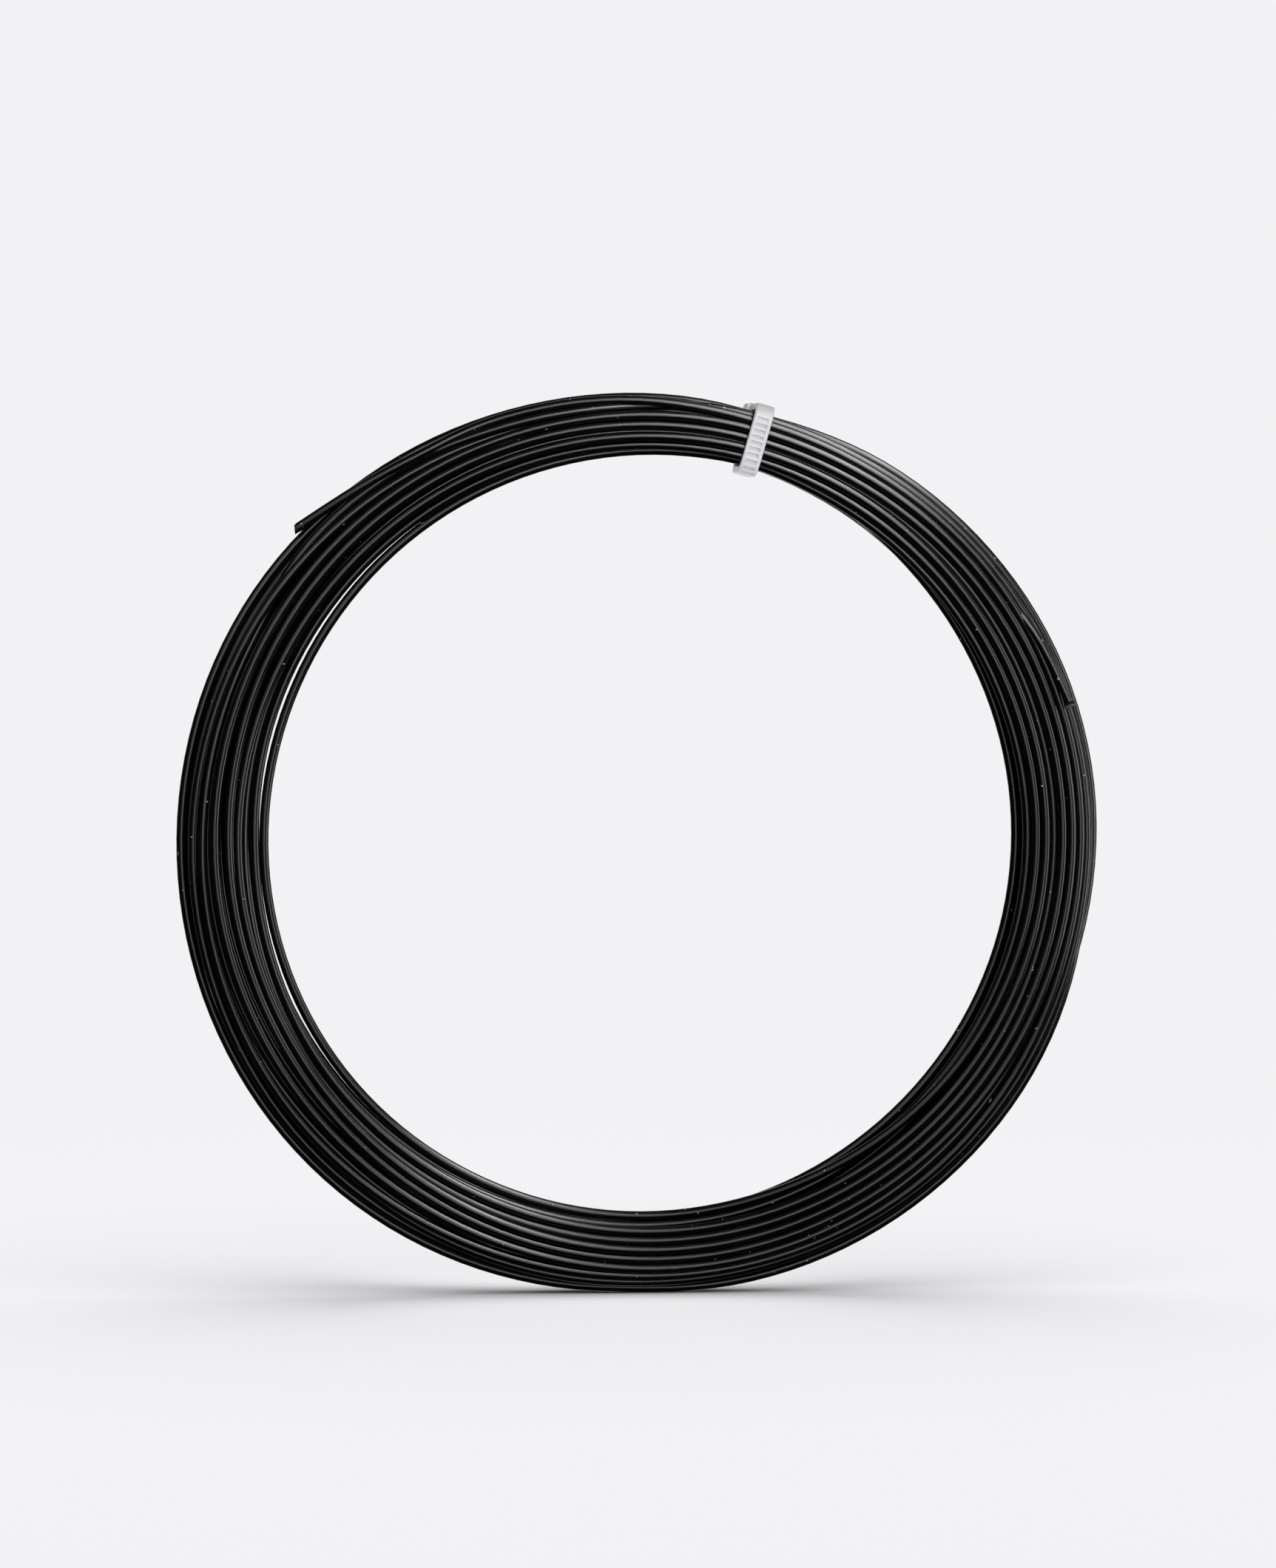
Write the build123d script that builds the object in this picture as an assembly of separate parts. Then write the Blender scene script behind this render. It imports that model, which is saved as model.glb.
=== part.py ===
from build123d import *
import os
from math import cos, pi, radians, sin, tan

# A hank of racket string: one long monofilament wound into a ring, held by one nylon cable tie.
# The ring stands on its rim. Its axis is the Y axis of the row and its front faces -Y.
# Millimetres and degrees. The origin is the middle of the flat foot that it stands on.
# Angles round the ring are clockwise from the top, as seen from the front.

# ---- driving dimensions: the string and its coil -------------------------------------------
string_diameter = 1.25
string_length = 12000.0
ring_mid_radius = 55.0       # from the ring's axis to the middle of the bundle
foot_press = 1.4             # how far the lowest turns are pressed flat where the ring stands
neck_height = 7.4            # the bundle inside the tie, measured outwards from the axis
neck_width = 8.6             # the same, along the axis
loose_height = 12.0          # the bundle where nothing holds it
loose_width = 9.6
neck_reach = 80.0            # how far round from the tie the bundle takes to spread
neck_corner = 2.4            # corner radius of the bundle's section at the tie
loose_corner = 3.9           # and where it is loose
section_step = 22.5          # angle between the coil's sections

# ---- driving dimensions: the cable tie -----------------------------------------------------
tie_angle = 16.0             # where the tie sits on the ring
tie_clearance = 0.06         # between the tie and the bundle
strap_width = 2.5
strap_thickness = 1.05
strap_edge = 0.3             # rounding of the strap's long edges
strap_bend = 1.75            # radius of the strap's middle line at its bends
strap_smooth = 9.6           # length of plain strap next to the head
tail_length = 0.15           # what is left of the strap above the head
head_drop = 0.1              # the strap comes down by this much from the bundle's top to its head
tooth_pitch = 0.8
tooth_gap = 0.5              # length of the pocket between two ribs
tooth_depth = 0.3
channel_width = 1.5
head_width = 3.8
head_height = 3.7
head_front_wall = 0.8
head_back_wall = 0.65
head_edge = 0.4
slot_clearance = 0.1         # between the strap and its slot, all round
pawl_thickness = 0.5
pawl_clearance = 0.08        # between the pawl and whatever stands still
pawl_side_gap = 0.1          # between the pawl's teeth and the sides of the strap's channel
pawl_root_radius = 0.3
pawl_floor = 0.35            # head left under the pawl's seat
pawl_swing = 10.5            # opens the pawl clear of the strap's ribs
pawl_tooth = 0.25            # length of each of the pawl's teeth
pawl_teeth = 2

# ---- the string's two loose ends -----------------------------------------------------------
# Each route is a list of (angle, distance outside the bundle's outer side, depth behind its
# front), from the bundle to the cut.
upper_end_route = [(331, -2.35, 1.1), (324.5, -1.8, 1.2), (318.5, -1.02, 1.6), (312.6, 0.15, 2.2)]
side_end_route = [(55, -2.8, 1.5), (60.5, -2.25, 1.05), (66.5, -1.8, 0.45), (72, -1.55, -0.1)]

axis_height = ring_mid_radius + loose_height / 2 - foot_press


def ease(share):
    """0 to 1 along an S-shaped curve, flat at both ends."""
    share = min(max(share, 0.0), 1.0)
    return share * share * (3 - 2 * share)


def around(angle, distance, depth):
    """The point at an angle round the ring, a distance from its axis and a depth along it."""
    turn = radians(angle)
    return Vector(distance * sin(turn), depth, axis_height + distance * cos(turn))


# ---- the coil ------------------------------------------------------------------------------
def spread_at(angle):
    """How far the bundle has spread: 0 at the tie, 1 where nothing holds it."""
    away = abs((angle - tie_angle + 180) % 360 - 180)
    return ease(away / neck_reach)


def coil_section(angle):
    """The bundle's outline on the half plane at one angle round the ring."""
    spread = spread_at(angle)
    height = neck_height + (loose_height - neck_height) * spread
    width = neck_width + (loose_width - neck_width) * spread
    corner = neck_corner + (loose_corner - neck_corner) * spread
    outwards = around(angle, 1, 0) - around(angle, 0, 0)
    half_plane = Plane(origin=around(angle, ring_mid_radius, 0), x_dir=outwards,
                       z_dir=outwards.cross(Vector(0, 1, 0)))
    return half_plane * RectangleRounded(height, width, corner)


def half_coil(start):
    """Half of the ring, drawn through its sections."""
    steps = round(180 / section_step)
    return loft([coil_section(start + section_step * step) for step in range(steps + 1)])


def string_coil():
    """The ring of turns as one closed solid, flat where it stands."""
    ring = half_coil(tie_angle - 90) + half_coil(tie_angle + 90)
    floor = Box(4 * ring_mid_radius, 4 * loose_width, 4 * foot_press,
                align=(Align.CENTER, Align.CENTER, Align.MAX))
    return ring - floor


# ---- the loose ends ------------------------------------------------------------------------
def string_end(name, route):
    """One loose end of the string: straight runs joined by arcs as large as the runs allow."""
    outer_side = ring_mid_radius + loose_height / 2
    front = -loose_width / 2
    points = [around(angle, outer_side + outside, front + depth) for angle, outside, depth in route]
    runs = [(b - a) for a, b in zip(points, points[1:])]
    radii = []
    for before, after in zip(runs, runs[1:]):
        half_turn = radians(before.get_angle(after)) / 2
        radii.append(0.45 * min(before.length, after.length) / tan(half_turn))
    path = FilletPolyline(*points, radius=radii)
    tube = sweep(Plane(origin=path @ 0, z_dir=path % 0) * Circle(string_diameter / 2), path=path)
    expected = pi * string_diameter**2 / 4 * path.length
    print(name, "radii", [round(radius, 1) for radius in radii], "length", round(path.length, 2),
          "volume", round(tube.volume, 3), "of", round(expected, 3))
    return tube


# ---- the cable tie -------------------------------------------------------------------------
# The tie is drawn upright, with the ring's axis along Y through the origin, so that Z runs
# outwards. Its loop lies in the YZ plane. tie_place then turns it to its angle on the ring.
tie_place = Pos(0, 0, axis_height) * Rot(0, tie_angle, 0)

neck_bottom = ring_mid_radius - neck_height / 2
neck_top = ring_mid_radius + neck_height / 2
strap_offset = tie_clearance + strap_thickness / 2
strap_low = neck_bottom - strap_offset
strap_high = neck_top + strap_offset
strap_front = -neck_width / 2 - strap_offset
strap_back = neck_width / 2 + strap_offset

root_middle = strap_high - head_drop
root_overrun = head_front_wall / 4   # extra root, cut off at the head's face
pawl_width = channel_width - 2 * pawl_side_gap
head_top = root_middle + strap_thickness / 2
head_bottom = head_top - head_height
head_front = neck_width / 2 + tie_clearance
slot_front = head_front + head_front_wall
slot_middle = slot_front + slot_clearance + strap_thickness / 2
slot_back = slot_middle + strap_thickness / 2 + slot_clearance
tail_top = head_top + tail_length

root_height = head_bottom + pawl_floor + pawl_clearance + pawl_root_radius
root_back = slot_back + pawl_clearance + 2 * pawl_root_radius
pawl_top = head_top - 2 * pawl_clearance - tooth_gap
strap_face = slot_middle + strap_thickness / 2
pawl_face = strap_face + pawl_clearance
chamber_back = root_back + 2 * pawl_root_radius
head_back = chamber_back + head_back_wall


def strap_path():
    """The strap's middle line: from the head over the top, down the front, under and up the back."""
    corners = [
        Vector(0, head_front + root_overrun, root_middle),
        Vector(0, neck_width / 2 - neck_corner, strap_high),
        Vector(0, strap_front, strap_high),
        Vector(0, strap_front, strap_low),
        Vector(0, strap_back, strap_low),
        Vector(0, slot_middle, head_bottom - strap_thickness),
        Vector(0, slot_middle, tail_top),
    ]
    return FilletPolyline(*corners, radius=strap_bend)


def pocket_heights():
    """Heights of the pockets on the strap's last, straight run, counted down from the tail's cut."""
    return [tail_top - (number + 1) * tooth_pitch for number in range(4)]


def tie_strap():
    """The ribbed band, with its root cut square where it meets the front of the head."""
    path = strap_path()
    section = Plane(origin=path @ 0, x_dir=(1, 0, 0), z_dir=path % 0)
    section = section * RectangleRounded(strap_width, strap_thickness, strap_edge)
    strap = sweep(section, path=path)
    pockets = int((path.length - strap_smooth) / tooth_pitch)
    for number in range(pockets):
        reach = path.length - (number + 1) * tooth_pitch
        middle = path.position_at(reach, position_mode=PositionMode.LENGTH)
        along = path.tangent_at(reach, position_mode=PositionMode.LENGTH)
        outwards = along.cross(Vector(1, 0, 0))
        pocket = Plane(origin=middle + outwards * strap_thickness / 2, x_dir=(1, 0, 0), z_dir=outwards)
        strap -= pocket * Box(channel_width, tooth_gap, 2 * tooth_depth)
    return strap - Pos(0, head_front, head_bottom) * Box(
        2 * strap_width, 2 * root_overrun, 2 * head_height, align=(Align.CENTER, Align.MIN, Align.MIN))


def tie_head():
    """The block that the strap grows out of, with its slot and the pawl's chamber and seat."""
    depth = head_back - head_front
    head = Pos(0, head_front, head_bottom) * Box(
        head_width, depth, head_height, align=(Align.CENTER, Align.MIN, Align.MIN))
    upright = head.edges().filter_by(Axis.Z)
    rims = head.faces().sort_by(Axis.Z)[0].edges() + head.faces().sort_by(Axis.Z)[-1].edges()
    head = fillet(upright + rims, head_edge)
    slot = Pos(0, slot_middle, head_bottom) * Box(
        strap_width + 2 * slot_clearance, strap_thickness + 2 * slot_clearance, 3 * head_height)
    chamber_width = pawl_width + 2 * pawl_clearance
    chamber = Pos(0, slot_middle, root_height) * Box(
        chamber_width, chamber_back - slot_middle, 2 * head_height,
        align=(Align.CENTER, Align.MIN, Align.MIN))
    seat = Pos(0, root_back, root_height) * Rot(0, 90, 0) * Cylinder(
        pawl_root_radius + pawl_clearance, chamber_width)
    return head - slot - chamber - seat


def tie_pawl():
    """The tongue that holds the strap: a round root, a leaning stem and two small teeth."""
    side = Plane.YZ
    stem = make_face(side * Polyline(
        (root_back - pawl_root_radius, root_height + pawl_clearance),
        (pawl_face, root_height + 3 * pawl_clearance + pawl_root_radius),
        (pawl_face, pawl_top),
        (pawl_face + pawl_thickness, pawl_top),
        (root_back + pawl_root_radius, root_height + pawl_clearance),
        (root_back, root_height - pawl_root_radius / 2),
        close=True))
    pawl = extrude(stem, amount=pawl_width / 2, both=True)
    pawl += Pos(0, root_back, root_height) * Rot(0, 90, 0) * Cylinder(pawl_root_radius, pawl_width)
    for height in [height for height in pocket_heights() if height < pawl_top][:pawl_teeth]:
        pawl += Pos(0, pawl_face, height) * Box(pawl_width, 2 * tooth_depth, pawl_tooth)
    return pawl


def write(name, solid):
    solid.label = name
    export_step(solid, f"parts/{name}.step")
    print(f"{name}: {solid.volume:.2f} mm3")


os.makedirs("parts", exist_ok=True)
write("string_coil", string_coil())
write("string_end_upper", string_end("string_end_upper", upper_end_route))
write("string_end_side", string_end("string_end_side", side_end_route))
write("tie_strap", tie_place * tie_strap())
write("tie_head", tie_place * tie_head())
write("tie_pawl", tie_place * tie_pawl())

pivot = tie_place * Pos(0, root_back, root_height)
print("pawl pivot", [round(value, 4) for value in pivot.position], "opens by", pawl_swing)
print("turns about", round(string_length / (2 * pi * ring_mid_radius), 1))
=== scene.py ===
from math import cos, pi, radians, sin, tan

import bmesh
import bpy
import numpy as np
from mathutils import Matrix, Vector


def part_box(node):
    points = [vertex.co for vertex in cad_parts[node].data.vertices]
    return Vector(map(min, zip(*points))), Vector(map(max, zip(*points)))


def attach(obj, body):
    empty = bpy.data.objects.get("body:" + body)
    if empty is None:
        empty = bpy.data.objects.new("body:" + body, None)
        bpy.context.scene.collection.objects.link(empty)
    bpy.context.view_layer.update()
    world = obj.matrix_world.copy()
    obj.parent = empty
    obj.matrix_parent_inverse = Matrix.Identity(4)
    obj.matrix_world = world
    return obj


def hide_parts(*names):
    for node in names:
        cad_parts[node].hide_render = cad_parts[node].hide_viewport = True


# %% [markdown]
# # A hank of racket string
# One black string, twelve metres long, is wound into a ring and held by one small nylon cable
# tie. The engineering model is loaded first and never moves: it says where the tie sits, how wide
# the ring is and where the ring stands. Everything that is made here fits around it.

# %% Load the fixed frame
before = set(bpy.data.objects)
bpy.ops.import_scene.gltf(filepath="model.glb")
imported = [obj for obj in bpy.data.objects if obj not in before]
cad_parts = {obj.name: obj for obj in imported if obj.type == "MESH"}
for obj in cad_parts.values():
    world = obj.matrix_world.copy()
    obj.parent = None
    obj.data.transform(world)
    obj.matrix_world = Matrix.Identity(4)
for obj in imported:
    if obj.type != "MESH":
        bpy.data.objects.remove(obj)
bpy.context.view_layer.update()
coil_low, coil_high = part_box("string_coil")
print("the ring takes", [round(high - low, 4) for low, high in zip(coil_low, coil_high)], "m")

# %% Sizes that everything hangs on
MM = 0.001
string_diameter = 1.25 * MM
ring_mid_radius = 55.0 * MM      # from the ring's axis to the middle of the bundle
loose_height = 12.0 * MM         # the bundle's size outwards, where nothing holds it
foot_press = 1.4 * MM            # how far the lowest turns are pressed flat
axis_height = ring_mid_radius + loose_height / 2 - foot_press
tie_angle = 16.0                 # degrees clockwise from the top, seen from the front
neck_width = 8.6 * MM            # the bundle's size along the axis, inside the tie
loose_width = 9.6 * MM           # and where it is loose
neck_reach = 80.0                # degrees from the tie until the bundle has spread


def around(angle, distance, depth):
    """The point at an angle round the ring, a distance from its axis and a depth along it."""
    turn = radians(angle)
    return (distance * sin(turn), depth, axis_height + distance * cos(turn))


# %% [markdown]
# ## The camera
# Seen from far away through a long lens, a ring looks like a circle and not like an egg. The camera
# stands a little to the left and a little above the ring's middle, which is what lets the corner of
# the tie's head show behind its strap.

# %% Camera
camera_distance = 1.0
camera_turn = radians(-4.4)
camera_rise = radians(2.0)
view_height = 0.2071             # metres of the scene that fit in the picture's height, at the ring
ring_right_of_middle = 0.15 * MM
ring_below_middle = 7.5 * MM
sensor_size = 36.0

camera_data = bpy.data.cameras.new("camera")
camera_data.sensor_fit = "VERTICAL"
camera_data.sensor_height = sensor_size
camera_data.lens = sensor_size * camera_distance / view_height
camera = bpy.data.objects.new("camera", camera_data)
bpy.context.collection.objects.link(camera)
towards = Vector((sin(camera_turn) * cos(camera_rise), -cos(camera_turn) * cos(camera_rise),
                  sin(camera_rise)))
camera.rotation_euler = towards.to_track_quat("Z", "Y").to_euler()
sideways = Vector((cos(camera_turn), sin(camera_turn), 0))
upwards = towards.cross(sideways)
aim = Vector((0, 0, axis_height)) - sideways * ring_right_of_middle + upwards * ring_below_middle
camera.location = aim + towards * camera_distance
bpy.context.scene.camera = camera
print("camera at", [round(value, 3) for value in camera.location])

# %% [markdown]
# ## The string: how a hank is wound
# A hank is one string that goes round again and again. Every time it passes the tie it takes
# another place in the bundle, and between two passes it is free, so it bows out, drops in and
# crosses its neighbours. A neat helix would look like a spring, so each turn gets its own lane.
#
# The lanes at the front are given one by one, because they are what one sees. A lane is a list of
# stations: the angle, how far outside the bundle's middle the string seems to run there, in
# millimetres, and how many layers down it lies.

# %% Lanes of the turns that show at the front
outer_side, front_side = loose_height / 2 / MM, -loose_width / 2 / MM
upper_end_route = [(angle, outer_side + outside, front_side + depth) for angle, outside, depth in (
    (312.6, 0.15, 2.2), (318.5, -1.02, 1.6), (324.5, -1.8, 1.2), (331, -2.35, 1.1))]
side_end_route = [(angle, outer_side + outside, front_side + depth) for angle, outside, depth in (
    (60.5, -2.25, 1.05), (66.5, -1.8, 0.45), (72, -1.55, -0.1))]

rising_lane = [(16, 2.0, 1.4), (45, 3.3, 1.2), (75, 4.0, 1.0), (98, 4.1, 0.8), (110, 4.6, 0.2),
               (120, 5.1, 0), (150, 4.95, 0), (168, 4.7, 0), (180, 3.95, 0), (195, 4.5, 0), (210, 5.3, 0),
               (225, 5.6, 0), (262, 5.2, 0), (300, 5.05, 0), (320, 4.5, 0.3), (340, 3.5, 0.8),
               (357, 3.3, 1.0), (376, 3.2, 0.9)]
outer_lane = [(16, 3.2, 0.9), (40, 3.95, 0), (60, 4.66, 0), (75, 5.0, 0), (90, 5.15, 0), (105, 4.9, 0.1),
              (120, 4.45, 0.8), (150, 4.1, 0.9), (168, 3.8, 0.6), (180, 3.3, 0.4), (195, 3.8, 0.1),
              (210, 4.35, 0), (230, 4.45, 0), (250, 4.0, 0), (270, 3.65, 0), (300, 3.15, 0), (320, 2.6, 0.5),
              (340, 2.0, 1.1), (376, 1.0, 1.15)]
third_lane = [(16, 1.0, 1.15), (60, 1.9, 1.5), (90, 2.2, 1.4), (120, 2.6, 0.9), (140, 2.7, 0.3),
              (150, 2.5, 0), (165, 1.9, 0), (180, 1.25, 0), (210, 0.9, 0), (230, 0.85, 0), (270, 0.9, 0),
              (300, 1.0, 0), (340, 1.1, 0), (355, 1.15, 0), (376, 1.55, 0)]
fourth_lane = [(16, 1.55, 0), (40, 2.25, 0), (60, 2.8, 0), (90, 2.65, 0), (105, 2.35, 0), (120, 1.95, 0),
               (150, 1.35, 0), (180, 0.3, 0), (195, -0.1, 0), (210, -0.5, 0), (230, -1.05, 0), (270, -1.1, 0),
               (300, -0.35, 0.2), (330, -0.25, 0), (350, -0.3, 0), (362, -0.2, 0), (376, 0.3, 0)]
fifth_lane = [(16, 0.3, 0), (40, 0.95, 0), (60, 1.45, 0), (90, 1.3, 0), (120, 0.75, 0), (150, -0.15, 0),
              (180, -0.75, 0), (195, -1.2, 0), (210, -1.7, 0.1), (230, -2.45, 0), (250, -2.2, 0),
              (270, -1.95, 0), (300, -2.45, 0), (330, -2.0, 0), (350, -1.7, 0), (376, -1.35, 0)]
sixth_lane = [(16, -1.35, 0), (40, -1.0, 0), (60, -0.75, 0), (90, -0.95, 0), (120, -1.4, 0), (150, -2.45, 0),
              (180, -3.05, 0), (210, -3.4, 0), (230, -3.55, 0), (270, -3.8, 0), (300, -3.8, 0),
              (320, -3.5, 0), (350, -2.75, 0), (376, -2.5, 0)]
inner_left_lane = [(16, -2.5, 0), (40, -2.25, 0), (60, -2.1, 0), (90, -2.15, 0), (115, -2.6, 0),
                   (135, -3.6, 0.1), (150, -4.5, 0.2), (165, -5.0, 0.3), (180, -5.0, 0.4), (210, -5.2, 0.5),
                   (230, -5.4, 0.4), (260, -5.65, 0.3), (275, -5.72, 0.2), (300, -5.45, 0.2),
                   (315, -4.95, 0.1), (330, -4.5, 0.1), (345, -3.85, 0.1), (360, -3.2, 0.2), (376, -3.0, 0.5)]
diving_lane = [(16, -3.0, 0.5), (40, -3.2, 0.2), (60, -3.35, 0), (90, -3.45, 0), (110, -3.6, 0),
               (125, -4.0, 0.4), (150, -4.4, 1.0), (180, -4.3, 1.4), (240, -3.4, 1.6), (300, -2.0, 1.5),
               (376, -0.5, 1.1)]
middle_lane = [(16, -0.5, 1.1), (40, -0.1, 0.8), (60, 0.2, 0.4), (90, 0.3, 0.3), (120, 0.0, 0.4),
               (135, -0.6, 0.3), (150, -1.25, 0.1), (165, -1.6, 0), (180, -1.85, 0), (210, -2.5, 0.4),
               (240, -3.0, 1.1), (300, -2.7, 1.4), (340, -2.3, 1.3), (376, -2.2, 1.2)]
inner_right_lane = [(16, -2.2, 1.2), (30, -3.5, 1.0), (45, -4.15, 0.7), (60, -4.65, 0.5), (90, -5.1, 0.4),
                    (120, -5.5, 0.4), (150, -5.4, 0.6), (175, -4.9, 1.2), (210, -4.6, 2.0), (300, -2.9, 2.4),
                    (376, -2.6, 2.2)]

# %% [markdown]
# The other turns lie behind these. Between two listed lanes the string works its way
# through the bundle: outwards and back, one place at a time, as a hand lays it.

# %% The order in which the string takes its places at the tie
layer_step = 1.05                # millimetres from one layer of strings to the next
upper_places = [(2.6, 1), (2.7, 2), (2.6, 3), (2.5, 4), (2.0, 5), (0.8, 5), (1.3, 4), (1.4, 3), (1.3, 2)]
lower_places = [(-2.6, 3.2), (-2.6, 4.2), (-2.0, 5), (-0.6, 5), (-1.4, 4), (-1.4, 3), (-1.3, 2), (0.0, 4),
                (0.1, 3), (0.0, 2), (-0.9, 6), (0.6, 6), (1.9, 5.9)]
start_place = (2.6, 0)
last_place = (2.6, 1.8)

places = [start_place] + upper_places
hand_lanes = {}
for lane in (rising_lane, outer_lane, third_lane, fourth_lane, fifth_lane, sixth_lane, inner_left_lane,
             diving_lane, middle_lane, inner_right_lane):
    hand_lanes[len(places)] = lane
    places.append(lane[0][1:])
places += [inner_right_lane[-1][1:]] + lower_places
places.append(last_place)
turns = len(places) - 1
print("the string passes the tie", len(places), "times and makes", turns, "whole turns")

# %% [markdown]
# ## Room for the bundle
# The bundle is narrow and tight inside the tie and wide and loose everywhere else. This says, for
# every angle, how far out and how far in the middle of a string may lie, and how far forward and
# back. Turns with a lane of their own may leave that room, which keeps the slits of daylight open
# beside the one that hangs inside all others and the one that stands outside them.

# %% The space that the strings share
steps_per_turn = 48
step_angle = 360 / steps_per_turn
outline = [(16, 2.95, -3.0), (30, 3.2, -3.4), (45, 3.9, -4.1), (60, 4.5, -4.5), (75, 4.8, -4.8),
           (105, 4.9, -5.2), (135, 4.6, -5.3), (160, 3.75, -4.9), (180, 3.6, -4.8), (198, 4.1, -4.9),
           (225, 4.4, -4.9), (250, 4.9, -3.8), (275, 4.9, -2.9), (300, 4.75, -2.7), (320, 4.3, -2.55),
           (340, 3.5, -2.5), (358, 3.15, -2.9), (376, 2.95, -3.0)]
tie_corner = 1.7                 # corner radius of the room at the tie
corner_growth = 1.4              # and how much rounder it is where the bundle is loose
own_room = 3.2                   # a listed lane may run this far outside the others' room
own_depth = 0.08                 # and this share of that further forward or back
own_reach = 35                   # degrees from the tie until it may do so in full


def smooth_through(stations, angles, column=1):
    """The values of one column of stations at any angles, on a smooth line through all of them."""
    at = np.array([station[0] for station in stations], float)
    values = np.array([station[column] for station in stations], float)
    slopes = np.gradient(values, at)
    span = np.clip(np.searchsorted(at, angles, side="right") - 1, 0, len(at) - 2)
    width = at[span + 1] - at[span]
    share = np.clip((angles - at[span]) / width, 0, 1)
    return ((2 * share**3 - 3 * share**2 + 1) * values[span]
            + (share**3 - 2 * share**2 + share) * width * slopes[span]
            + (3 * share**2 - 2 * share**3) * values[span + 1]
            + (share**3 - share**2) * width * slopes[span + 1])


def ease(share):
    """Goes from 0 to 1 without a jerk at either end."""
    share = np.clip(share, 0, 1)
    return share * share * (3 - 2 * share)


def room_at(angles):
    """Middle and half sizes of the room for the strings' middles, and its corner radius, in mm."""
    turned = (np.asarray(angles, float) - tie_angle) % 360 + tie_angle
    away = np.minimum(turned - tie_angle, 360 + tie_angle - turned)
    spread = ease(away / neck_reach)
    outer, inner = smooth_through(outline, turned, 1), smooth_through(outline, turned, 2)
    half_depth = ((neck_width + (loose_width - neck_width) * spread) - string_diameter) / 2 / MM
    corner = tie_corner + corner_growth * spread
    return (outer + inner) / 2, (outer - inner) / 2, half_depth, corner


def front_at(outwards, room):
    """How far forward the middle of a string lies when it is on top of the bundle."""
    middle, half_height, half_depth, corner = room
    past = np.clip(np.abs(outwards - middle) - (half_height - corner), 0, corner)
    return -(half_depth - corner) - np.sqrt(corner**2 - past**2)


# %% [markdown]
# ## Laying the turns
# Each turn first gets the path that its lane or its two places ask for, with a slow wander of its
# own. Then the strings are let go: where two are closer than their thickness they push each other
# apart, a string stays as smooth as a springy monofilament is, and the tie and the floor hold them
# in. A few hundred small corrections give a bundle that could really be wound.

# %% Stations along the whole string
rng = np.random.default_rng(12)
lead_in, lead_out = 5, 5         # steps of bundle before the first and after the last pass of the tie
free_firmness = 0.03             # how much of the way back to its own path a string goes in each round
hand_firmness = 0.6              # the same for a listed lane
end_firmness = 0.5               # and for the string next to its two ends
count = turns * steps_per_turn + lead_in + lead_out + 1
station = np.arange(count) - lead_in
angle_at = tie_angle + station * step_angle
section = station % steps_per_turn
room = room_at(angle_at)
wanted = np.zeros((count, 2))
firmness = np.full(count, free_firmness)

# %% From where a string should be seen to where it lies
nearer = 0.055                   # the ring's radius over the camera's distance
from_left, from_above = 0.077, 0.035       # how far the view slants, across and down
narrowed = 0.16                  # millimetres that the turned ring looks narrower at its sides


def seen_shift(angles, depth):
    """How much further out a string seems to lie that is nearer to the eye than the ring's middle."""
    turned = np.radians(angles)
    slant = nearer + from_left * np.sin(turned) - from_above * np.cos(turned)
    return -depth * slant - narrowed * np.sin(turned)**2


def follow(lane, turned, where):
    """Places of a turn whose lane was chosen by how it should look from the camera."""
    seen, layer = smooth_through(lane, turned, 1), smooth_through(lane, turned, 2)
    here = [part[where] for part in room]
    shift = seen_shift(turned, front_at(seen, here) + layer * layer_step)
    return np.stack([seen - shift, front_at(seen - shift, here) + layer * layer_step], 1)


# %% First guess for every turn
tie_room = [part.item() for part in room_at(np.array([tie_angle]))]


def spread_out(place, where):
    """A place in the tight bundle at the tie, carried out to the wide bundle at other angles."""
    outwards = (place[0] - tie_room[0]) / tie_room[1]
    back = place[1] * layer_step / tie_room[2] - 1
    return room[0][where] + outwards * room[1][where], back * room[2][where]


for turn in range(turns):
    here = np.flatnonzero((station >= turn * steps_per_turn) & (station <= (turn + 1) * steps_per_turn))
    share = (station[here] - turn * steps_per_turn) / steps_per_turn
    if turn in hand_lanes:
        wanted[here] = follow(hand_lanes[turn], tie_angle + share * 360, here)
        firmness[here] = hand_firmness
        continue
    start, end = spread_out(places[turn], here), spread_out(places[turn + 1], here)
    cross = ease((share - 0.12) / 0.76)
    loose = np.sin(pi * share)
    for side, size in ((0, 0.55), (1, 0.5)):
        wander = sum(rng.normal() * size / wave * np.sin(2 * pi * wave * share + rng.uniform(0, 2 * pi))
                     for wave in (1, 2, 3))
        wanted[here, side] = (start[side] * (1 - cross) + end[side] * cross
                              + loose * (wander + rng.normal() * 0.3))

# %% The string next to its two ends
first_lane = [(338, 3.25, 0), (345.5, 3.1, 0), (353, 2.85, 0), (360.5, 2.65, 0), (376, 2.45, 0)]
final_lane = [(16, 2.6, 1.8), (30.5, 2.75, 1.5), (45.5, 3.1, 0.9), (53, 3.4, 0.5), (60.5, 3.75, 0.1)]
for lane, here in ((first_lane, np.flatnonzero(station < 0)),
                   (final_lane, np.flatnonzero(station > turns * steps_per_turn))):
    wanted[here] = follow(lane, lane[0][0] + (angle_at[here] - lane[0][0]) % 360, here)
    firmness[here] = end_firmness
print("the first guess has", count, "stations")

# %% Ways to correct the strings
thickness = string_diameter / MM
members = [np.flatnonzero(section == number) for number in range(steps_per_turn)]
most = max(len(group) for group in members)
table = np.full((steps_per_turn, most), -1)
for number, group in enumerate(members):
    table[number, :len(group)] = group
present = table >= 0
by_hand = firmness >= end_firmness
give_way = np.where(by_hand, 0.2, 1.0)


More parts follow.
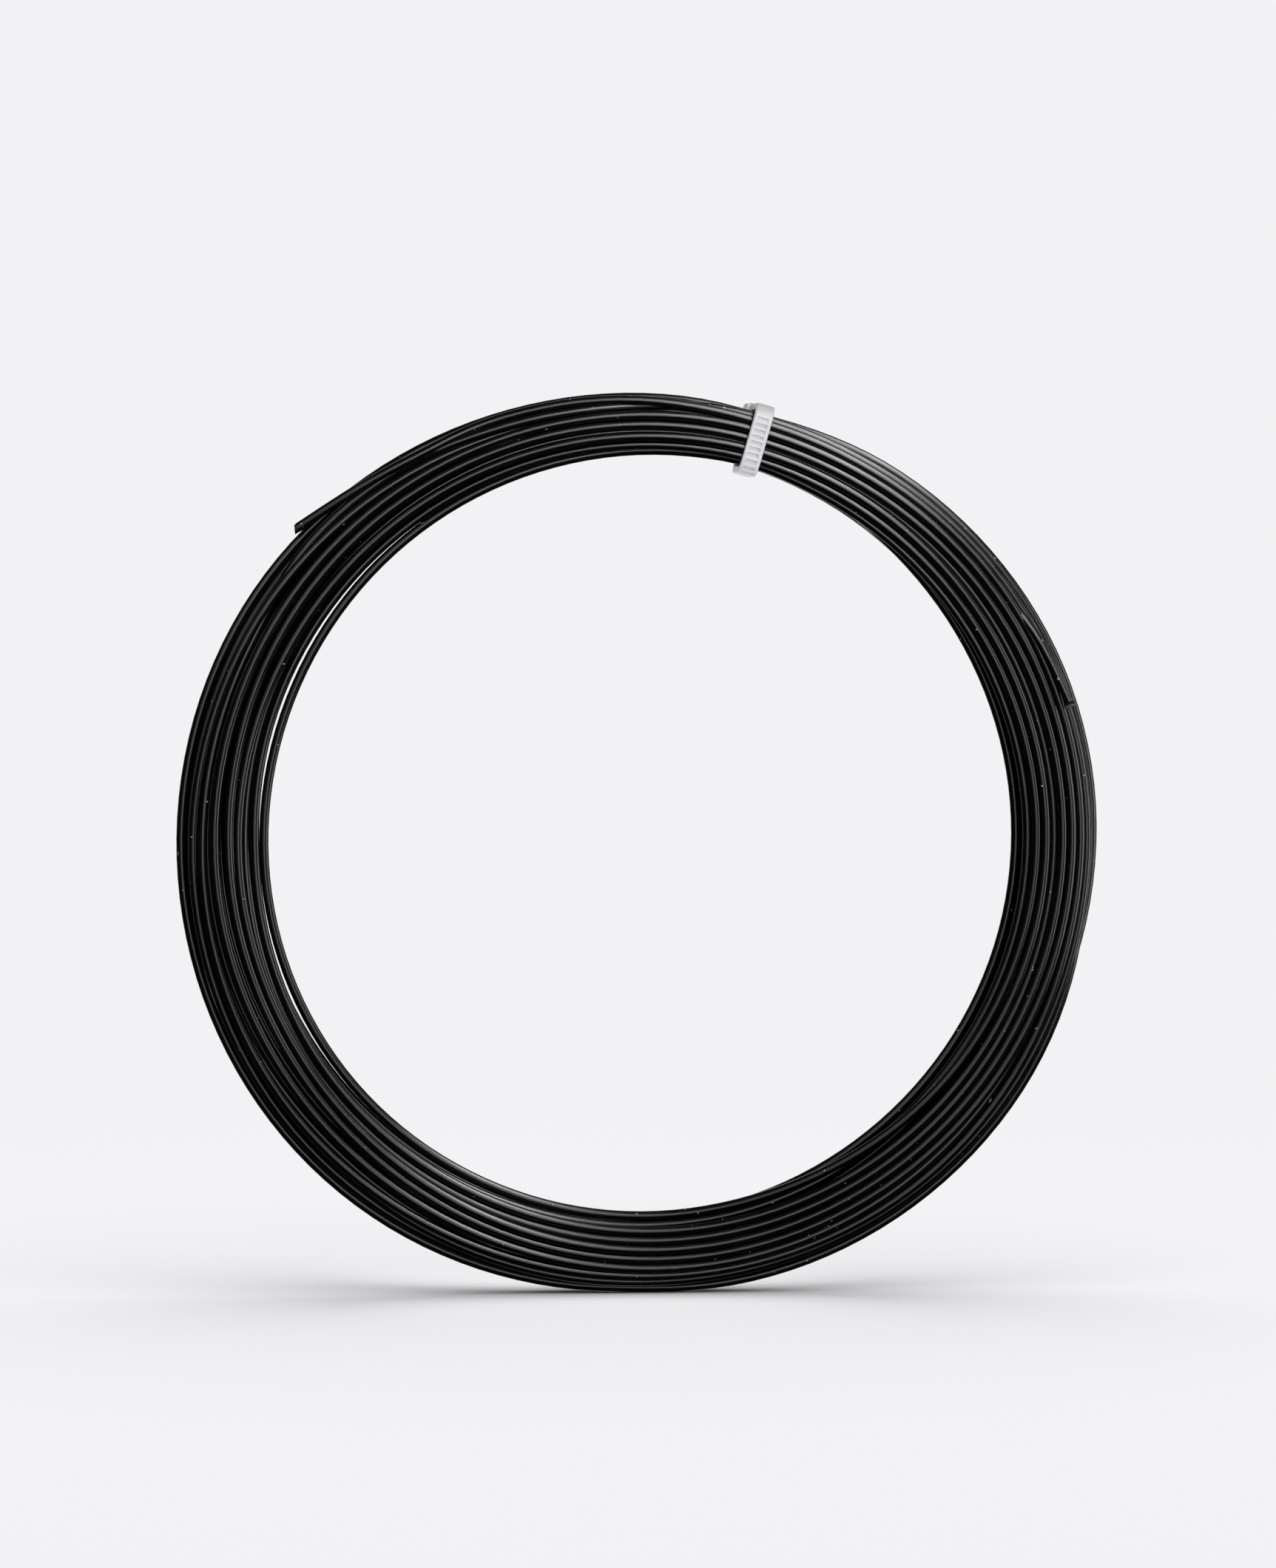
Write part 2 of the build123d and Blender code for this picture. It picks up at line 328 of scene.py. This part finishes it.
def push_apart(laid, strength):
    """Moves every pair of strings that overlap in one section away from each other."""
    here = laid[table]
    away = here[:, :, None, :] - here[:, None, :, :]
    gap = np.sqrt((away**2).sum(-1)) + 1e-6
    both = present[:, :, None] & present[:, None, :] & (gap > 1e-5)
    short = np.where(both, np.clip(thickness - gap, 0, None), 0)
    yields = give_way[table]
    share = yields[:, :, None] / (yields[:, :, None] + yields[:, None, :])
    moves = (away / gap[..., None] * (short * share * strength)[..., None]).sum(2)
    pushed = laid.copy()
    pushed[table[present]] += moves[present]
    return pushed


def keep_in(laid):
    """Brings strings that left their room back to its wall, and off the floor."""
    middle, half_height, half_depth, corner = room
    kept = laid.copy()
    turned = (angle_at - tie_angle) % 360
    extra = by_hand * own_room * ease(np.minimum(turned, 360 - turned) / own_reach)
    half_height, half_depth = half_height + extra, half_depth + extra * own_depth
    offset = np.stack([laid[:, 0] - middle, laid[:, 1]], 1)
    past = np.abs(offset) - np.stack([half_height - corner, half_depth - corner], 1)
    into_corner = np.clip(past, 0, None)
    stray = np.hypot(*into_corner.T)
    over = stray > corner
    squeeze = np.where(over, corner / np.maximum(stray, 1e-6), 1)[:, None]
    base = np.abs(offset) - into_corner
    back_in = np.sign(offset) * (base + into_corner * squeeze)
    kept[over] = (back_in + np.stack([middle, np.zeros(count)], 1))[over]
    kept[:, 1] = np.clip(kept[:, 1], -half_depth, half_depth)
    depth_below = -np.cos(np.radians(angle_at)) * (ring_mid_radius / MM + kept[:, 0])
    lowest = (axis_height - string_diameter / 2) / MM
    sunk = depth_below > lowest
    kept[sunk, 0] -= (depth_below - lowest)[sunk] / np.abs(np.cos(np.radians(angle_at[sunk])))
    return kept


def smooth_out(laid, amount):
    """A springy string has no kinks: every station moves towards the line of its neighbours."""
    eased = laid.copy()
    eased[1:-1] += amount * ((laid[:-2] + laid[2:]) / 2 - laid[1:-1])
    return eased


# %% Let the strings push each other into place
rounds, pushes_per_round, last_rounds = 500, 3, 60
laid = wanted.copy()
for number in range(rounds):
    left = 1 - number / rounds
    laid += (wanted - laid) * (firmness * (0.3 + 0.7 * left))[:, None]
    laid = smooth_out(laid, 0.35)
    for push in range(pushes_per_round):
        laid = keep_in(push_apart(laid, 0.5))
for number in range(last_rounds):
    laid = keep_in(push_apart(smooth_out(laid, 0.08), 0.6))


def closest(laid):
    """The distance from every station to the nearest other string in its section."""
    here = laid[table]
    gap = np.sqrt(((here[:, :, None, :] - here[:, None, :, :])**2).sum(-1))
    gap[~(present[:, :, None] & present[:, None, :])] = 9
    gap[:, np.arange(most), np.arange(most)] = 9
    return gap.min(-1)[present]


gaps = closest(laid) / thickness
print("string to string: least", round(float(gaps.min()), 3), "of a thickness,",
      round(float((gaps < 0.9).mean() * 100), 1), "% of stations under 0.9,",
      round(float((gaps < 0.97).mean() * 100), 1), "% under 0.97")

# %% [markdown]
# ## The string itself
# A monofilament is a solid round thread, so it is one curve with a round bevel and not a mesh that
# was drawn by hand. One open spline runs from the cut end at the upper left, through all turns, to
# the cut end on the right. A spline of this kind cuts its corners a little, so its points stand a
# hair further out than the string should lie. The thickness is kept in the points and not in the
# bevel, because the box round a curve is measured with the radius of its points.

# %% One spline from cut end to cut end
corner_cut = cos(radians(step_angle / 2))
route = [around(angle, ring_mid_radius + outwards * MM, depth * MM)
         for angle, outwards, depth in upper_end_route]
route += [around(angle, (ring_mid_radius + outwards * MM) / corner_cut, depth * MM)
          for angle, (outwards, depth) in zip(angle_at, laid)]
route += [around(angle, ring_mid_radius + outwards * MM, depth * MM)
          for angle, outwards, depth in side_end_route]

string_curve = bpy.data.curves.new("racket_string", "CURVE")
string_curve.dimensions = "3D"
string_curve.bevel_depth = 1.0
string_curve.bevel_resolution = 5
string_curve.resolution_u = 3
string_curve.use_fill_caps = True
spline = string_curve.splines.new("NURBS")
spline.points.add(len(route) - 1)
for point, place in zip(spline.points, route):
    point.co = (*place, 1)
    point.radius = string_diameter / 2
spline.order_u = 3
spline.use_endpoint_u = True
spline.use_smooth = True
racket_string = bpy.data.objects.new("racket_string", string_curve)
bpy.context.collection.objects.link(racket_string)

line = np.array(route)
drawn_length = float(np.sqrt((np.diff(line, axis=0)**2).sum(1)).sum())
print("the string is", round(drawn_length, 3), "m long and has", len(route), "points")
print("lowest point", round(float(line[:, 2].min() - string_diameter / 2) * 1000, 3), "mm above the floor")

# %% [markdown]
# ## The two cut ends
# The string is snipped with side cutters. They pinch one end flat and wide before it parts, and
# leave the other with a slanting face. Each tip is lofted: rings of points go from the round
# section of the string to the shape of the cut, and every ring is bridged to the next.

# %% Rings of a cut tip
tip_steps = (0, 0.35, 0.6, 0.8, 0.93, 1)
tip_corners = 24
snug = 0.99                      # the tip starts a hair thinner, inside the string


def tip_ring(tip, share, end, axes, reach_on, width, thickness, slant):
    """One ring of a tip, a share of the way along it; it starts reach_on before the string's end."""
    along, outwards, backwards = axes
    wide = string_diameter * snug + (width - string_diameter) * ease(share)
    deep = string_diameter * snug + (thickness - string_diameter) * ease(share)
    ring = bmesh.ops.create_circle(tip, segments=tip_corners, radius=0.5)["verts"]
    for corner in ring:
        across, back = corner.co.x, corner.co.y
        forward = (share * 1.8 - 1) * reach_on - slant * across * wide * share
        corner.co = Vector(end) + along * forward + outwards * across * wide + backwards * back * deep
    return ring


# %% The tips
def cut_tip(name, end, before, reach_on, width, thickness, slant):
    """A string's last bit: round at first, then width by thickness, cut with a slant across."""
    along = (Vector(end) - Vector(before)).normalized()
    outwards = (Vector(end) - Vector((0, end[1], axis_height))).normalized()
    backwards = along.cross(outwards).normalized()
    outwards = backwards.cross(along)
    tip = bmesh.new()
    rings = [tip_ring(tip, share, end, (along, outwards, backwards), reach_on, width, thickness, slant)
             for share in tip_steps]
    for near, far in zip(rings, rings[1:]):
        edges = {edge for corner in near + far for edge in corner.link_edges
                 if set(edge.verts) <= set(near) or set(edge.verts) <= set(far)}
        bmesh.ops.bridge_loops(tip, edges=list(edges))
    for ring in (rings[0], rings[-1]):
        bmesh.ops.contextual_create(tip, geom=ring)
    bmesh.ops.recalc_face_normals(tip, faces=tip.faces)
    pinched = thickness < string_diameter / 2
    crushed = set(rings[-1] + rings[-2] + rings[-3])
    for side in tip.faces:
        side.smooth = len(side.verts) == 4
        torn = pinched and all(corner in crushed for corner in side.verts)
        side.material_index = 0 if side.smooth and not torn else 1
    mesh = bpy.data.meshes.new(name)
    tip.to_mesh(mesh)
    tip.free()
    piece = bpy.data.objects.new(name, mesh)
    bpy.context.collection.objects.link(piece)
    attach(piece, "hank")
    return piece


upper_tip = cut_tip("upper_cut_end", route[0], route[1], 0.7 * MM, 1.15 * MM, 1.15 * MM, 0.55)
side_tip = cut_tip("side_cut_end", route[-1], route[-2], 0.9 * MM, 1.86 * MM, 0.4 * MM, -0.12)
print("cut ends:", [len(tip.data.polygons) for tip in (upper_tip, side_tip)], "faces")

# %% Tell the frame what the string is
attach(racket_string, "hank")
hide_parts("string_coil", "string_end_upper", "string_end_side")

# %% [markdown]
# ## How black monofilament looks
# It is black all through with a satin skin: dark where it faces the camera, with a soft grey band
# where it turns towards the light. Extruded string is never quite even, so its sheen wanders a
# little along its length, some stretches are a touch browner than others, and a few specks of dust
# sit on it.

# %% Helpers for node materials
def new_material(name):
    """An empty node material with its surface shader and the coordinates of the object."""
    material = bpy.data.materials.new(name)
    material.use_nodes = True
    nodes = material.node_tree.nodes
    shader = nodes["Principled BSDF"]
    coordinates = nodes.new("ShaderNodeTexCoord")
    return material, shader, coordinates.outputs["Object"]


def noise(material, coordinates, scale, detail=2.0, roughness=0.5):
    """Soft random blotches; scale says how many fit in a metre."""
    node = material.node_tree.nodes.new("ShaderNodeTexNoise")
    node.inputs["Scale"].default_value = scale
    node.inputs["Detail"].default_value = detail
    node.inputs["Roughness"].default_value = roughness
    material.node_tree.links.new(coordinates, node.inputs["Vector"])
    return node.outputs["Fac"]


def ramp(material, value, stops):
    """Turns a value into a colour by a few stops."""
    node = material.node_tree.nodes.new("ShaderNodeValToRGB")
    marks = node.color_ramp.elements
    while len(marks) < len(stops):
        marks.new(0.5)
    for mark, (position, colour) in zip(marks, stops):
        mark.position = position
        mark.color = (*colour, 1)
    material.node_tree.links.new(value, node.inputs["Fac"])
    return node.outputs["Color"]


def reach(material, value, low, high, to_low, to_high):
    """Stretches the part of a value between low and high to another range."""
    node = material.node_tree.nodes.new("ShaderNodeMapRange")
    for socket, number in (("From Min", low), ("From Max", high), ("To Min", to_low), ("To Max", to_high)):
        node.inputs[socket].default_value = number
    material.node_tree.links.new(value, node.inputs["Value"])
    return node.outputs["Result"]


def mix_colours(material, factor, first, second):
    """Goes from the first colour to the second as the factor rises."""
    node = material.node_tree.nodes.new("ShaderNodeMix")
    node.data_type = "RGBA"
    links = material.node_tree.links
    links.new(factor, node.inputs["Factor"])
    for socket, colour in ((node.inputs["A"], first), (node.inputs["B"], second)):
        if isinstance(colour, tuple):
            socket.default_value = (*colour, 1)
        else:
            links.new(colour, socket)
    return node.outputs["Result"]


def bump(material, height, strength, distance):
    """Small relief from a height value."""
    node = material.node_tree.nodes.new("ShaderNodeBump")
    node.inputs["Strength"].default_value = strength
    node.inputs["Distance"].default_value = distance
    material.node_tree.links.new(height, node.inputs["Height"])
    return node.outputs["Normal"]


# %% Black monofilament and its cut faces
string_black, shader, coordinates = new_material("black_monofilament")
links = string_black.node_tree.links
cold, neutral, brownish = (0.0003, 0.0003, 0.0005), (0.0006, 0.0005, 0.0006), (0.0026, 0.0014, 0.0010)
body = ramp(string_black, noise(string_black, coordinates, 70),
            [(0.35, cold), (0.55, neutral), (0.7, brownish)])
dust = reach(string_black, noise(string_black, coordinates, 1500, 1.0), 0.775, 0.80, 0, 0.7)
colour = mix_colours(string_black, dust, body, (0.32, 0.31, 0.30))
links.new(colour, shader.inputs["Base Color"])
sheen = reach(string_black, noise(string_black, coordinates, 260, 3.0), 0.3, 0.7, 0.20, 0.28)
links.new(sheen, shader.inputs["Roughness"])
shader.inputs["IOR"].default_value = 1.5
relief = bump(string_black, noise(string_black, coordinates, 2600, 2.0), 0.05, 0.00002)
links.new(relief, shader.inputs["Normal"])
string_curve.materials.append(string_black)

cut_grey, shader, coordinates = new_material("cut_face")
links = cut_grey.node_tree.links
grain = mix_colours(cut_grey, noise(cut_grey, coordinates, 3000), (0.006, 0.006, 0.007), (0.05, 0.05, 0.052))
links.new(grain, shader.inputs["Base Color"])
shader.inputs["Roughness"].default_value = 0.45
for tip in (upper_tip, side_tip):
    tip.data.materials.append(string_black)
    tip.data.materials.append(cut_grey)

# %% [markdown]
# ## The cable tie
# The tie is moulded from clear nylon, which is milky: light goes in, scatters and comes out again,
# so its edges glow and its ribs show only faintly. The engineering solids already have the rails,
# the ladder and the head with its pawl, so they keep their shape and only get this finish.

# %% Milky nylon
nylon, shader, coordinates = new_material("milky_nylon")
links = nylon.node_tree.links
cloud = mix_colours(nylon, noise(nylon, coordinates, 420), (0.80, 0.82, 0.86), (0.86, 0.84, 0.84))
links.new(cloud, shader.inputs["Base Color"])
shader.inputs["Roughness"].default_value = 0.32
shader.inputs["IOR"].default_value = 1.53
shader.inputs["Subsurface Weight"].default_value = 1.0
shader.inputs["Subsurface Radius"].default_value = (1.0, 0.9, 0.85)
shader.inputs["Subsurface Scale"].default_value = 0.0005
for node in ("tie_strap", "tie_head", "tie_pawl"):
    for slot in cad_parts[node].material_slots:
        slot.material = nylon

# %% [markdown]
# ## Floor
# The hank stands on white paper whose far part is as bright as the wall behind, so that no horizon
# shows. Only the paper near the hank takes a shadow; further out it turns into an even glow.

# %% Paper
paper_white = (0.888, 0.888, 0.904)
paper_radius = 0.34
disc = bmesh.new()
bmesh.ops.create_circle(disc, cap_ends=True, cap_tris=False, segments=96, radius=paper_radius)
disc_mesh = bpy.data.meshes.new("paper_floor")
disc.to_mesh(disc_mesh)
disc.free()
paper_floor = bpy.data.objects.new("paper_floor", disc_mesh)
bpy.context.collection.objects.link(paper_floor)

paper, shader, coordinates = new_material("white_paper")
nodes, links = paper.node_tree.nodes, paper.node_tree.links
shader.inputs["Base Color"].default_value = (0.84, 0.84, 0.855, 1)
shader.inputs["Roughness"].default_value = 0.9
shader.inputs["Specular IOR Level"].default_value = 0.0
glow = nodes.new("ShaderNodeEmission")
glow.inputs["Color"].default_value = (*paper_white, 1)
distance = nodes.new("ShaderNodeVectorMath")
distance.operation = "LENGTH"
links.new(coordinates, distance.inputs[0])
far = reach(paper, distance.outputs["Value"], 0.14, 0.32, 0.0, 1.0)
blend = nodes.new("ShaderNodeMixShader")
links.new(far, blend.inputs["Fac"])
links.new(shader.outputs["BSDF"], blend.inputs[1])
links.new(glow.outputs["Emission"], blend.inputs[2])
links.new(blend.outputs["Shader"], nodes["Material Output"].inputs["Surface"])
disc_mesh.materials.append(paper)
paper_floor.visible_glossy = False

# %% [markdown]
# ## Light
# Black string shows only what it mirrors, and white paper shows only what falls on it. So each has
# its own lights. Over the paper hang two broad lights, one behind the hank and one before it, for
# a soft shadow close to the foot. Over the string four bright softboxes make a quarter circle from
# low in front to straight above. Their grids keep most of their light at the ring's upper right. A
# wide dim softbox fills the bottom, one on the left is turned to the lower right and a slim one
# stands on the right, so the ring's own left side stays dark. The string does not mirror the paper.

# %% Who gets which light
for_string = bpy.data.collections.new("string_lights")
for piece in (racket_string, upper_tip, side_tip):
    for_string.objects.link(piece)
for_tie = bpy.data.collections.new("tie_lights")
for node in ("tie_strap", "tie_head", "tie_pawl"):
    for_tie.objects.link(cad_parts[node])
for_paper = bpy.data.collections.new("paper_lights")
for_paper.objects.link(paper_floor)

# %% Helpers for lights
def stand(light, name, facing, receivers):
    """Puts a light into the scene, turned along a direction, for some receivers only."""
    lamp = bpy.data.objects.new(name, light)
    lamp.rotation_euler = Vector(facing).to_track_quat("-Z", "Y").to_euler()
    lamp.visible_camera = False
    lamp.light_linking.receiver_collection = receivers
    bpy.context.collection.objects.link(lamp)
    return lamp


def softbox(name, receivers, place, target, width, height, brightness, grid=180, colour=(1, 1, 1)):
    """A softbox for some receivers. brightness is the radiance of its cloth, straight ahead; a grid in
    front of it lets light out within that many degrees only."""
    light = bpy.data.lights.new(name, "AREA")
    light.shape = "RECTANGLE"
    light.size, light.size_y = width, height
    light.energy = brightness * width * height * pi
    if grid < 180:
        light.spread = radians(grid)
        light.energy *= 1 - light.spread / 2 / tan(light.spread / 2)
    light.color = colour
    lamp = stand(light, name, Vector(target) - Vector(place), receivers)
    lamp.location = place


def sky(name, place, irradiance, width):
    """Broad light from one side of the sky onto the paper; width is in degrees."""
    light = bpy.data.lights.new(name, "SUN")
    light.energy = irradiance
    light.angle = radians(width)
    stand(light, name, -Vector(place), for_paper)


# %% Lights for the string
ring_top = (0.03, 0, 0.11)
over_the_top = (0.045, 0, 0.15)
box_distance = 0.5
brightest_angle = radians(30)
cool_white = (0.98, 0.97, 1.0)
for name, height_angle, brightness in (("key_low", 12, 4.2), ("key_middle", 35, 18.9),
                                       ("key_high", 58, 19.95), ("key_top", 82, 21.0)):
    tilt = radians(height_angle)
    direction = Vector((sin(tilt) * sin(brightest_angle), -cos(tilt), sin(tilt) * cos(brightest_angle)))
    softbox(name, for_string, Vector(ring_top) + box_distance * direction, over_the_top, 0.45, 0.2,
            brightness, grid=34, colour=cool_white)
softbox("front", for_string, (0.12, -0.48, 0.06), (0.07, 0, 0.02), 0.70, 0.40, 2.4, grid=54)
softbox("left", for_string, (-0.21, -0.38, 0.24), (0.05, 0, 0.01), 0.35, 0.35, 2.5, grid=36)
softbox("right", for_string, (0.42, -0.10, 0.10), (0, 0, 0.06), 0.25, 0.35, 3.5)

# %% Lights for the tie and the paper
softbox("tie_key", for_tie, (0.16, -0.30, 0.36), ring_top, 0.36, 0.30, 2.4)
softbox("tie_front", for_tie, (0.02, -0.50, 0.25), ring_top, 0.45, 0.30, 2.3)
sky("behind_paper", (0.10, 0.40, 0.90), irradiance=1.72, width=55)
sky("before_paper", (0.10, -0.40, 0.90), irradiance=1.72, width=55)

# %% The room: dim for the string, and white for the camera and behind the ring
world = bpy.data.worlds.new("room")
world.use_nodes = True
nodes, links = world.node_tree.nodes, world.node_tree.links
room_light = nodes["Background"]
room_light.inputs["Color"].default_value = (*paper_white, 1)
room_light.inputs["Strength"].default_value = 0.02
wall = nodes.new("ShaderNodeBackground")
wall.inputs["Color"].default_value = (*paper_white, 1)
seen = nodes.new("ShaderNodeLightPath")
dim_or_white = nodes.new("ShaderNodeMixShader")
direction = nodes.new("ShaderNodeTexCoord")
split = nodes.new("ShaderNodeSeparateXYZ")
behind = nodes.new("ShaderNodeMapRange")
behind.inputs["From Min"].default_value = 0.6
behind.inputs["From Max"].default_value = 0.95
either = nodes.new("ShaderNodeMath")
either.operation = "MAXIMUM"
links.new(direction.outputs["Generated"], split.inputs["Vector"])
links.new(split.outputs["Y"], behind.inputs["Value"])
links.new(behind.outputs["Result"], either.inputs[0])
links.new(seen.outputs["Is Camera Ray"], either.inputs[1])
links.new(either.outputs["Value"], dim_or_white.inputs["Fac"])
links.new(room_light.outputs["Background"], dim_or_white.inputs[1])
links.new(wall.outputs["Background"], dim_or_white.inputs[2])
links.new(dim_or_white.outputs["Shader"], nodes["World Output"].inputs["Surface"])
bpy.context.scene.world = world
bpy.context.scene.view_settings.view_transform = "Standard"
bpy.context.scene.view_settings.look = "None"
